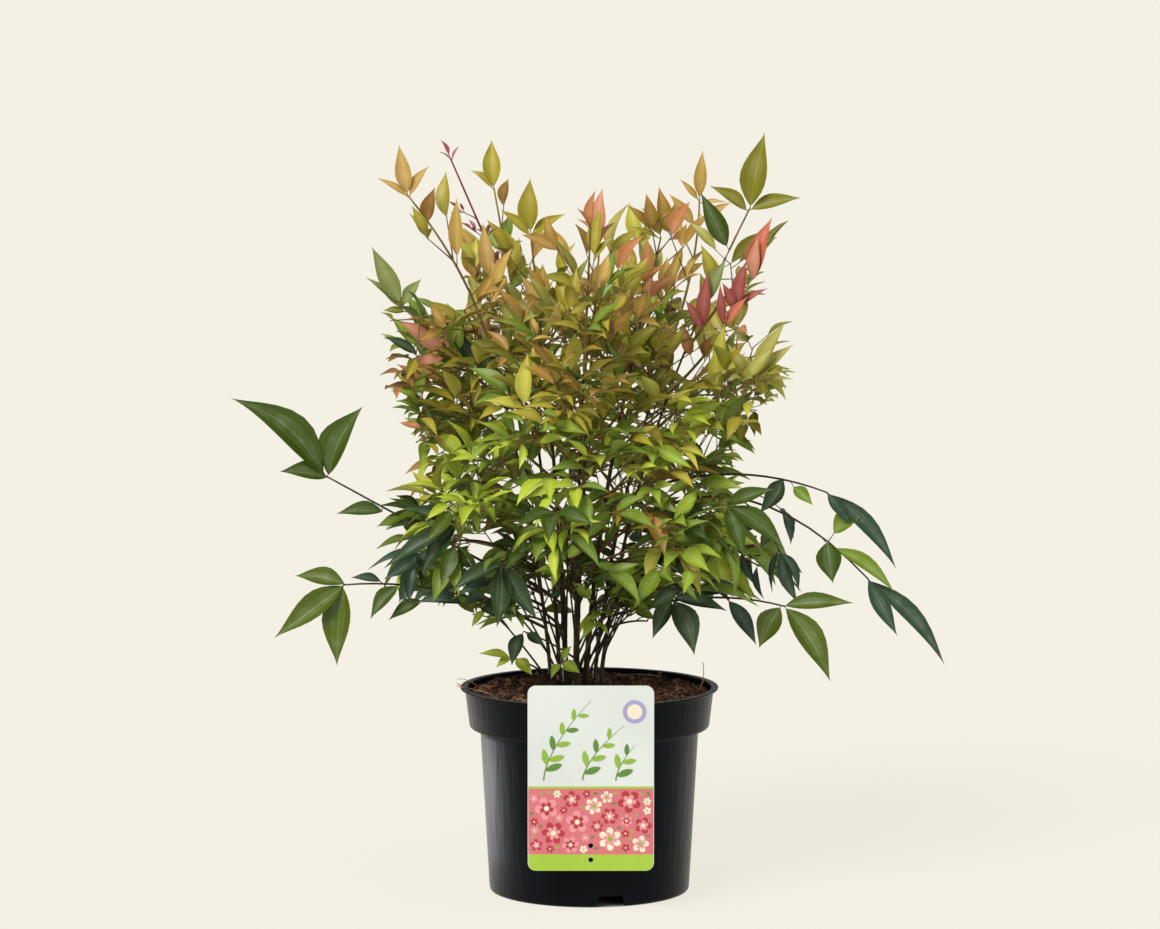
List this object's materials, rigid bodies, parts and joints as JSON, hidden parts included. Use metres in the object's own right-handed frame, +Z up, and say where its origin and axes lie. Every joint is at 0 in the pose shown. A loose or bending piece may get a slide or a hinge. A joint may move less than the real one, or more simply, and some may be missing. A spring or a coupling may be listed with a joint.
{
  "type": "potted heavenly bamboo shrub",
  "caption": "Young heavenly bamboo in a round nursery pot: upright canes with airy compound leaves, dark green below and bronze at the tips.",
  "frame": {"origin": "centre of the pot's flat underside", "axes": "+Z up, -Y towards the pot's front with its label, +X to the viewer's right"},
  "size_m": [0.5064, 0.3754, 0.5664],
  "materials": {
    "pot_plastic": "satin black moulded plastic",
    "compost": "crumbly, dark and moist",
    "label_card": "printed plastic card",
    "bark": "ridged brown bark",
    "skirt_leaf": "smooth dark green leaf",
    "low_leaf": "smooth green leaf",
    "middle_leaf": "smooth yellow-green leaf",
    "upper_leaf": "smooth olive-gold leaf",
    "tuft_leaf": "smooth bronze young leaf"
  },
  "bodies": {
    "root": {"cane_01": "bark", "cane_02": "bark", "cane_03": "bark", "cane_04": "bark", "cane_05": "bark", "cane_06": "bark", "cane_07": "bark", "cane_08": "bark", "compost": "compost", "label": "label_card", "left_high": "skirt_leaf", "left_low": "skirt_leaf", "low_01": "low_leaf", "low_02": "low_leaf", "low_03": "low_leaf", "low_04": "low_leaf", "low_05": "low_leaf", "low_06": "low_leaf", "low_07": "low_leaf", "low_08": "low_leaf", "middle_01": "middle_leaf", "middle_02": "middle_leaf", "middle_03": "middle_leaf", "middle_04": "middle_leaf", "middle_05": "middle_leaf", "middle_06": "middle_leaf", "middle_07": "middle_leaf", "middle_08": "middle_leaf", "pot": "pot_plastic", "right_arch": "skirt_leaf", "right_low": "skirt_leaf", "skirt_01": "skirt_leaf", "skirt_02": "skirt_leaf", "skirt_03": "skirt_leaf", "skirt_04": "skirt_leaf", "skirt_05": "skirt_leaf", "skirt_06": "skirt_leaf", "skirt_07": "skirt_leaf", "skirt_08": "skirt_leaf", "tuft_01": "tuft_leaf", "tuft_02": "tuft_leaf", "tuft_03": "tuft_leaf", "tuft_04": "tuft_leaf", "tuft_05": "tuft_leaf", "tuft_06": "tuft_leaf", "tuft_07": "tuft_leaf", "tuft_08": "tuft_leaf", "upper_01": "upper_leaf", "upper_02": "upper_leaf", "upper_03": "upper_leaf", "upper_04": "upper_leaf", "upper_05": "upper_leaf", "upper_06": "upper_leaf", "upper_07": "upper_leaf", "upper_08": "upper_leaf"}
  },
  "joints": []
}
